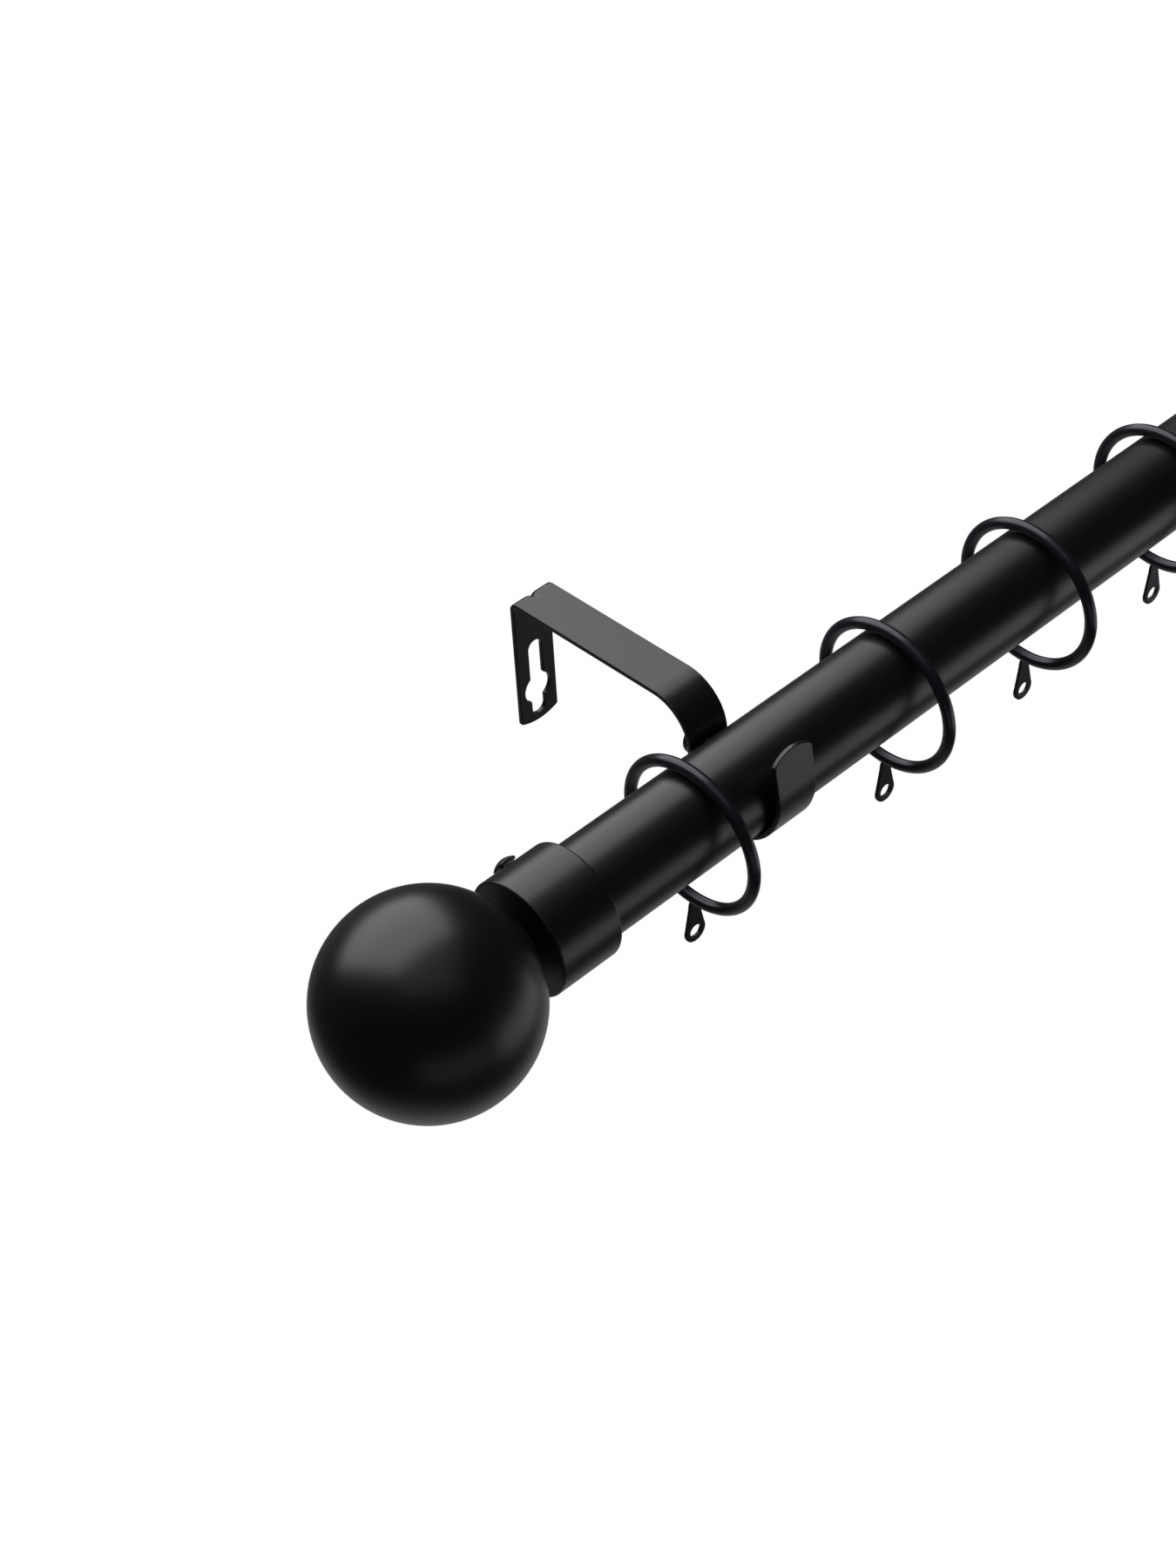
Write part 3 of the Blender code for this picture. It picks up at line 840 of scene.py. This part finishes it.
def finial(side):
    way = sides[side]
    outward = Vector((way, 0, 0))
    capLow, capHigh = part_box("finial_cap_" + side)
    ballLow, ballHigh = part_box("finial_ball_" + side)
    mouth = capHigh.x if way < 0 else capLow.x
    length = capHigh.x - capLow.x
    capRadius = (capHigh.z - capLow.z) / 2
    bore = tubeRadiusAt(side) + capSizes["gap"]
    hole = ballSizes["hole"]
    floor = length - capSizes["wall"]
    here = aim(rodAxis + Vector((mouth, 0, 0)), outward)
    outline = rounded([
        (hole, length, 0.0003), (capRadius, length, capSizes["endEdge"]), (capRadius, 0, capSizes["rim"]),
        (bore, 0, capSizes["rim"]), (bore, floor, 0.0004), (hole, floor, 0.0003),
    ], 6)
    cap = turned(outline, True, capSizes["steps"], here)
    drillPlace = rodAxis + Vector((mouth, 0, 0)) + outward * capSizes["screwPlace"]
    drillRadius = capSizes["screwHole"]
    start = capSizes["drillFrom"]
    end = capSizes["drillTo"]
    drillOutline = [(0, start), (drillRadius, start), (drillRadius, end), (0, end)]
    drill = turned(drillOutline, False, 32, aim(drillPlace, screwWay()))
    cap = carve(cap, drill)
    cap = polish(cap, 50)
    settle("finialCap" + side.title(), cap, "finial_cap_" + side, finialPaint)

    radius = (ballHigh.z - ballLow.z) / 2
    farPole = ballLow.x if way < 0 else ballHigh.x
    centre = abs(farPole - mouth) - radius
    inner = radius - ballSizes["wall"]
    holeAngle = math.asin(hole / radius)
    seatAngle = math.degrees(math.asin(ballSizes["seat"] / radius))
    bossAngle = math.degrees(math.asin(ballSizes["boss"] / inner))
    skin = arc((0, centre), radius, 90, -90 + seatAngle, ballSizes["rise"])
    skin[0] = (0, centre + radius)
    bossTop = centre - radius + ballSizes["bossDepth"]
    lining = arc((0, centre), inner, -90 + bossAngle, 90, 40)
    lining[-1] = (0, centre + inner)
    lip = (hole, centre - radius * math.cos(holeAngle) + 0.0003)
    boss = [(hole, bossTop - 0.0002), (hole + 0.0002, bossTop), (ballSizes["boss"], bossTop)]
    ball = turned(skin + [lip] + boss + lining, False, ballSizes["steps"], here)
    ball = polish(ball, 50)
    settle("finialBall" + side.title(), ball, "finial_ball_" + side, finialPaint)

    studLow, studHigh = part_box("finial_stud_" + side)
    near = abs((studHigh.x if way < 0 else studLow.x) - mouth)
    far = abs((studLow.x if way < 0 else studHigh.x) - mouth)
    high = studSizes["headHeight"]
    wide = studSizes["headRadius"]
    shank = threaded(far - near - high, studSizes["radius"], studSizes["pitch"], studZinc)
    shank.transform(Matrix.Translation((0, 0, high)))
    pan = rounded([
        (0, high, 0), (wide, high, 0.0003), (wide, 0.0007, 0.0004), (wide - 0.0012, 0, 0.0006), (0, 0, 0),
    ], 4)
    head = turned(pan, False, 48, Matrix.Rotation(math.pi, 4, "X"))
    cross = crossRecess(studSizes["recess"], studSizes["blade"], studSizes["recessDepth"], 0.0)
    head = carve(head, cross)
    head.transform(Matrix.Rotation(math.pi, 4, "X"))
    build = bmesh.new()
    build.from_mesh(shank)
    build.from_mesh(head)
    stud = meshOf(build)
    stud.transform(here @ Matrix.Translation((0, 0, near)))
    settle("finialStud" + side.title(), polish(stud, 40), "finial_stud_" + side, studZinc)


print("finials")
for side in sides:
    finial(side)


strapSizes = {
    "thickness": 0.0015, "edge": 0.0003, "plateRise": 0.0016, "lipRise": 0.0028, "corner": 0.0006,
    "slotWidth": 0.005, "slotTop": 0.0262, "holeRadius": 0.0048, "holePlace": 0.0116, "notchPlace": 0.0048,
    "tooth": 0.0004, "screwHole": 0.0023, "screwPlace": 0.1210, "dimpleDepth": 0.0006, "dimpleWidth": 0.0010,
    "dimpleLength": 0.0020,
}
# the strap's line from the plate's low end to the lip: straight lengths in metres, and turns of
# (radius of the middle line, degrees)
strapBends = (
    (0.0430,), (0.00225, 90), (0.05265,), (0.01325, 90), (0.0040,), (0.0151, -130), (0.02075, -58),
    (0.0123,),
)
# cuts across and along the dimple of the wall bend, from its middle
dimpleCuts = {
    "reach": 0.0055, "spacing": 0.00035, "each": 9,
    "along": (-0.0045, -0.0038, -0.0031, -0.0024, 0.0024, 0.0031, 0.0038, 0.0045),
}


def strapLine():
    # points along the strap's middle: (distance, place, heading)
    spot = Vector((0, 0))
    heading = math.pi / 2
    run = 0
    line = [(run, spot.copy(), heading)]
    for bend in strapBends:
        if len(bend) == 1:
            spot = spot + Vector((math.cos(heading), math.sin(heading))) * bend[0]
            run += bend[0]
            line.append((run, spot.copy(), heading))
            continue
        radius, degrees = bend
        way = math.copysign(1, degrees)
        pivot = spot + Vector((-math.sin(heading), math.cos(heading))) * radius * way
        steps = max(8, round(abs(degrees) / 3))
        start = heading
        for step in range(1, steps + 1):
            heading = start + math.radians(degrees) * step / steps
            spot = pivot + Vector((math.sin(heading), -math.cos(heading))) * radius * way
            line.append((run + radius * abs(math.radians(degrees)) * step / steps, spot.copy(), heading))
        run += radius * abs(math.radians(degrees))
    return line


def archedEnd(half, rise, steps=18):
    # points of an arched end, from -half to half, its middle rise above its corners
    radius = (half * half + rise * rise) / (2 * rise)
    reach = math.degrees(math.asin(half / radius))
    return arc((0, rise - radius), radius, 90 + reach, 90 - reach, steps)


def toothed(points, tooth):
    # corners for rounded(), sharp but for the first and the last
    ends = (0, len(points) - 1)
    return [(*point, tooth if number in ends else 0) for number, point in enumerate(points)]


def cutAcross(build, place, normal, geometry=None):
    # adds a row of edges in the plane
    everything = build.verts[:] + build.edges[:] + build.faces[:]
    bmesh.ops.bisect_plane(build, geom=geometry or everything, dist=0.0000005, plane_co=place,
                           plane_no=normal)


def strapBlank(half, length):
    # outer edge, keyhole and screw hole of the flat strap, as (distance along it, across it)
    sizes = strapSizes
    low = [(sizes["plateRise"] - up, across) for across, up in archedEnd(half, sizes["plateRise"])]
    high = [(length - sizes["lipRise"] + up, across) for across, up in archedEnd(half, sizes["lipRise"])]
    edge = []
    for number, (along, across) in enumerate(low[::-1] + high):
        corner = sizes["corner"] if number in (0, len(low) - 1, len(low), len(low) + len(high) - 1) else 0
        edge.append((along, across, corner * (0.5 if corner and number >= len(low) else 1)))
    outer = rounded(edge, 4)
    slot = sizes["slotWidth"] / 2
    wide = sizes["holeRadius"]
    reach = math.degrees(math.asin(slot / wide))
    tooth = sizes["tooth"]
    middle = sizes["holePlace"]
    keyhole = [(*point, 0) for point in arc((sizes["slotTop"], 0), slot, 90, -90, 16)]
    keyhole += toothed(arc((middle, 0), wide, -reach, -180 + reach, 16), tooth)
    keyhole += [(*point, 0) for point in arc((sizes["notchPlace"], 0), slot, -90, -270, 16)]
    keyhole += toothed(arc((middle, 0), wide, 180 - reach, reach, 16), tooth)
    screw = arc((sizes["screwPlace"], 0), sizes["screwHole"], 360, 7.5, 47)
    return [outer, rounded(keyhole, 3), screw]


def signedArea(outline):
    total = 0
    for number, (across, up) in enumerate(outline):
        before = outline[number - 1]
        total += before[0] * up - across * before[1]
    return total / 2


def strap(side):
    sizes = strapSizes
    low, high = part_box("bracket_strap_" + side)
    half = (high.x - low.x) / 2
    start = Vector((high.y - sizes["thickness"] / 2, low.z))
    line = strapLine()
    length = line[-1][0]
    outlines = strapBlank(half, length)
    for number, outline in enumerate(outlines):
        if (signedArea(outline) > 0) != (number == 0):
            outline.reverse()
    build = sheetBlank(outlines, sizes["thickness"], sizes["edge"])
    for run, spot, heading in line[1:-1]:
        cutAcross(build, (run, 0, 0), (1, 0, 0))
    bendMiddle = strapBends[0][0] + math.pi / 2 * strapBends[1][0] / 2
    for number in range(-dimpleCuts["each"], dimpleCuts["each"] + 1):
        nearby = set()
        for face in build.faces:
            if abs(face.calc_center_median().x - bendMiddle) < dimpleCuts["reach"]:
                nearby.update([face], face.edges, face.verts)
        cutAcross(build, (0, number * dimpleCuts["spacing"], 0), (0, 1, 0), list(nearby))
    for run in dimpleCuts["along"]:
        cutAcross(build, (bendMiddle + run, 0, 0), (1, 0, 0))
    for vert in build.verts:
        along, across, level = vert.co
        number = 0
        while number < len(line) - 2 and line[number + 1][0] < along - 0.0000002:
            number += 1
        first, second = line[number], line[number + 1]
        share = (along - first[0]) / (second[0] - first[0])
        spot = first[1].lerp(second[1], share)
        heading = first[2] + (second[2] - first[2]) * share
        aside = across / sizes["dimpleWidth"]
        away = (along - bendMiddle) / sizes["dimpleLength"]
        level += sizes["dimpleDepth"] * math.exp(-aside ** 2 - away ** 2)
        spot = spot + Vector((-math.sin(heading), math.cos(heading))) * level
        vert.co = Vector(((low.x + high.x) / 2 + across, start.x + spot.x, start.y + spot.y))
    bmesh.ops.remove_doubles(build, verts=build.verts, dist=0.000002)
    bmesh.ops.recalc_face_normals(build, faces=build.faces)
    mesh = polish(meshOf(build), 35)
    settle("bracketStrap" + side.title(), mesh, "bracket_strap_" + side, bracketPaint)


print("brackets")
for side in sides:
    strap(side)


ringSizes = {
    "points": 240, "section": 26, "seamDepth": 0.16, "seamWidth": 0.00034, "swell": 0.035,
    "swellLength": 0.0022,
}
eyeletSizes = {
    "thickness": 0.0010, "edge": 0.0002, "neck": 0.0017, "endRadius": 0.0037, "holeRadius": 0.0020,
}


def ringTree():
    # bent wire with a butt seam at its lowest point
    graph, inputs = makeTree("wireRing", {
        "Points": 240, "Section": 26, "Middle radius": 0.02275, "Wire radius": 0.00175,
        "Centre": (0.0, 0.0, 0.0), "Seam depth": 0.1, "Seam width": 0.0002, "Swell": 0.03,
        "Swell length": 0.002,
    })
    line = graph.node("GeometryNodeCurvePrimitiveLine", {"mode": "POINTS"}, {"End": (1.0, 0.0, 0.0)})
    fine = graph.node("GeometryNodeResampleCurve", {"mode": "COUNT"},
                      {"Curve": line, "Count": inputs["Points"]})
    share = graph.node("GeometryNodeInputIndex") * 2 / inputs["Points"] - 1
    # close steps at the seam, wide ones at the top
    angle = share * abs(share) * math.pi
    across = graph.calc("SINE", angle) * inputs["Middle radius"]
    up = graph.calc("COSINE", angle) * inputs["Middle radius"] * -1
    spot = graph.node("ShaderNodeCombineXYZ", {}, {"Y": across, "Z": up})
    centred = graph.node("ShaderNodeVectorMath", {"operation": "ADD"}, {0: spot, 1: inputs["Centre"]})
    bent = graph.node("GeometryNodeSetPosition", {}, {"Geometry": fine, "Position": centred})
    closed = graph.node("GeometryNodeSetSplineCyclic", {}, {"Geometry": bent, "Cyclic": True})
    away = abs(angle) * inputs["Middle radius"]
    seam = 1 - graph.step(away, 0.0, inputs["Seam width"])
    weld = 1 - graph.step(away, 0.0, inputs["Swell length"])
    girth = 1 + weld * inputs["Swell"] - seam * inputs["Seam depth"]
    shaped = graph.node("GeometryNodeSetCurveRadius", {}, {"Curve": closed, "Radius": girth})
    section = graph.node("GeometryNodeCurvePrimitiveCircle", {"mode": "RADIUS"},
                         {"Resolution": inputs["Section"], "Radius": inputs["Wire radius"]})
    wire = graph.node("GeometryNodeCurveToMesh", {}, {"Curve": shaped, "Profile Curve": section})
    return endTree(graph, inputs, wire)


wireRing = ringTree()


def ring(number):
    node = "ring_%02d" % number
    low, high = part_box(node)
    wireRadius = (high.x - low.x) / 2
    outside = (high.z - low.z) / 2
    mesh = grow(wireRing, {
        "Points": ringSizes["points"], "Section": ringSizes["section"],
        "Middle radius": outside - wireRadius, "Wire radius": wireRadius / (1 + ringSizes["swell"]),
        "Centre": tuple((low + high) / 2), "Seam depth": ringSizes["seamDepth"],
        "Seam width": ringSizes["seamWidth"], "Swell": ringSizes["swell"],
        "Swell length": ringSizes["swellLength"],
    }, ringPaint)
    settle("wireRing%02d" % number, polish(mesh, 60), node, ringPaint)


def eyelet(number):
    node = "ring_eyelet_%02d" % number
    sizes = eyeletSizes
    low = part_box(node)[0]
    ringLow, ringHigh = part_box("ring_%02d" % number)
    wireRadius = (ringHigh.x - ringLow.x) / 2
    root = ringLow.z + wireRadius
    drop = root - low.z - sizes["endRadius"]
    neck = sizes["neck"]
    outline = [(neck * 0.8, -wireRadius + 0.0005, 0), (-neck * 0.8, -wireRadius + 0.0005, 0)]
    outline += [(-neck, -wireRadius - 0.0003, 0.0008), (-neck * 1.15, -wireRadius - 0.0022, 0.004)]
    outline += [(*point, 0) for point in arc((0, -drop), sizes["endRadius"], 158, 382, 44)]
    outline += [(neck * 1.15, -wireRadius - 0.0022, 0.004), (neck, -wireRadius - 0.0003, 0.0008)]
    outlines = [rounded(outline, 4), arc((0, -drop), sizes["holeRadius"], 360, 10, 35)]
    for count, each in enumerate(outlines):
        if (signedArea(each) > 0) != (count == 0):
            each.reverse()
    build = sheetBlank(outlines, sizes["thickness"], sizes["edge"], 3)
    stand = Matrix.Translation(((ringLow.x + ringHigh.x) / 2, rodAxis.y, root))
    stand = stand @ Matrix.Rotation(math.pi / 2, 4, "X")
    bmesh.ops.transform(build, matrix=stand, verts=build.verts)
    bmesh.ops.recalc_face_normals(build, faces=build.faces)
    mesh = polish(meshOf(build), 35)
    settle("ringEyelet%02d" % number, mesh, node, ringPaint)


print("rings")
ringCount = len([node for node in frame["nodes"] if node.startswith("ring_eyelet_")])
for number in range(1, ringCount + 1):
    ring(number)
    eyelet(number)


print("studio")
studioSizes = {
    "floorDrop": 0.75, "floorSize": 9.0, "backdrop": 1.0, "ambient": 0.03, "floorLow": 0.04,
    "floorGlow": 0.38, "poolLeft": (-0.85, -0.08), "poolFront": (-0.62, -0.03),
    "poolRight": (0.60, 1.54), "poolBack": (0.66, 1.17), "aside": 0.05,
    "behind": {"place": (0.05, 0.99, 1.11), "size": (2.2, 2.1), "radiance": 2.5},
    "overhead": {"place": (-0.2, -0.25, 1.4), "size": (1.4, 1.3), "radiance": 0.36},
    "frontRight": {"place": (0.84, -0.84, -0.457), "size": (1.5, 0.60), "radiance": 0.92},
    "frontLeft": {"place": (-0.45, -0.84, -0.34), "size": (1.0, 0.42), "radiance": 0.27},
}


def softbox(name, sizes, target):
    # a lit rectangle that faces the target; place is its offset from there
    offset = Vector(sizes["place"])
    data = bpy.data.lights.new(name, "AREA")
    data.shape = "RECTANGLE"
    data.size, data.size_y = sizes["size"]
    data.energy = sizes["radiance"] * math.pi * data.size * data.size_y
    lamp = bpy.data.objects.new(name, data)
    lamp.location = target + offset
    lamp.rotation_euler = offset.to_track_quat("Z", "Y").to_euler()
    lamp.visible_camera = False
    bpy.context.scene.collection.objects.link(lamp)


def floorSurface():
    # pale sweep, lit in a pool under the rod
    material = bpy.data.materials.new("paleFloor")
    material.use_nodes = True
    graph = Graph(material.node_tree)
    material.node_tree.nodes.remove(material.node_tree.nodes["Principled BSDF"])
    place = graph.node("ShaderNodeTexCoord")["Object"]
    axes = graph.node("ShaderNodeSeparateXYZ", {}, {"Vector": place})
    left = graph.step(axes["X"], *studioSizes["poolLeft"])
    front = graph.step(axes["Y"], *studioSizes["poolFront"])
    right = graph.step(axes["X"], *studioSizes["poolRight"])
    back = graph.step(axes["Y"], *studioSizes["poolBack"])
    pool = left * front * (1 - right * 0.6) * (1 - back * 0.8)
    fade = studioSizes["floorLow"] + pool * studioSizes["floorGlow"]
    seen = graph.node("ShaderNodeLightPath")["Is Camera Ray"]
    strength = seen + (1 - seen) * fade
    glow = graph.node("ShaderNodeEmission", {}, {"Color": (1, 1, 1, 1), "Strength": strength})
    graph.tree.links.new(glow.socket, graph.tree.nodes["Material Output"].inputs["Surface"])
    return material


def studio():
    build = bmesh.new()
    bmesh.ops.create_grid(build, x_segments=8, y_segments=8, size=studioSizes["floorSize"] / 2)
    bmesh.ops.translate(build, verts=build.verts, vec=(0, 0, cadBox[0].z - studioSizes["floorDrop"]))
    floorMesh = meshOf(build)
    floorMesh.materials.append(floorSurface())
    floor = bpy.data.objects.new("floor", floorMesh)
    bpy.context.scene.collection.objects.link(floor)
    target = rodAxis + Vector((studioSizes["aside"], 0, 0))
    for name in ("behind", "overhead", "frontRight", "frontLeft"):
        softbox(name + "Softbox", studioSizes[name], target)
    world = bpy.data.worlds.new("studio")
    world.use_nodes = True
    bpy.context.scene.world = world
    graph = Graph(world.node_tree)
    seen = graph.node("ShaderNodeLightPath")["Is Camera Ray"]
    strength = seen * studioSizes["backdrop"] + (1 - seen) * studioSizes["ambient"]
    graph.tree.links.new(strength.socket, graph.tree.nodes["Background"].inputs["Strength"])
    graph.tree.nodes["Background"].inputs["Color"].default_value = (1, 1, 1, 1)
    bpy.context.scene.view_settings.view_transform = "Standard"


studio()

print("camera")
cameraSizes = {
    "azimuth": -41.86, "elevation": 41.91, "roll": -3.65, "distance": 0.8176, "lens": 70.67,
    "aim": (-0.0313, 0.0291, 0.0),
}


def camera():
    data = bpy.data.cameras.new("camera")
    data.lens = cameraSizes["lens"]
    data.sensor_width = 36
    data.clip_start = 0.05
    data.clip_end = 30
    azimuth = math.radians(cameraSizes["azimuth"])
    elevation = math.radians(cameraSizes["elevation"])
    level = math.cos(elevation)
    back = Vector((math.sin(azimuth) * level, -math.cos(azimuth) * level, math.sin(elevation)))
    eye = bpy.data.objects.new("camera", data)
    eye.rotation_mode = "QUATERNION"
    roll = Matrix.Rotation(math.radians(cameraSizes["roll"]), 3, "Z").to_quaternion()
    eye.rotation_quaternion = back.to_track_quat("Z", "Y") @ roll
    eye.location = rodAxis + Vector(cameraSizes["aim"]) + back * cameraSizes["distance"]
    bpy.context.scene.collection.objects.link(eye)
    bpy.context.scene.camera = eye


camera()
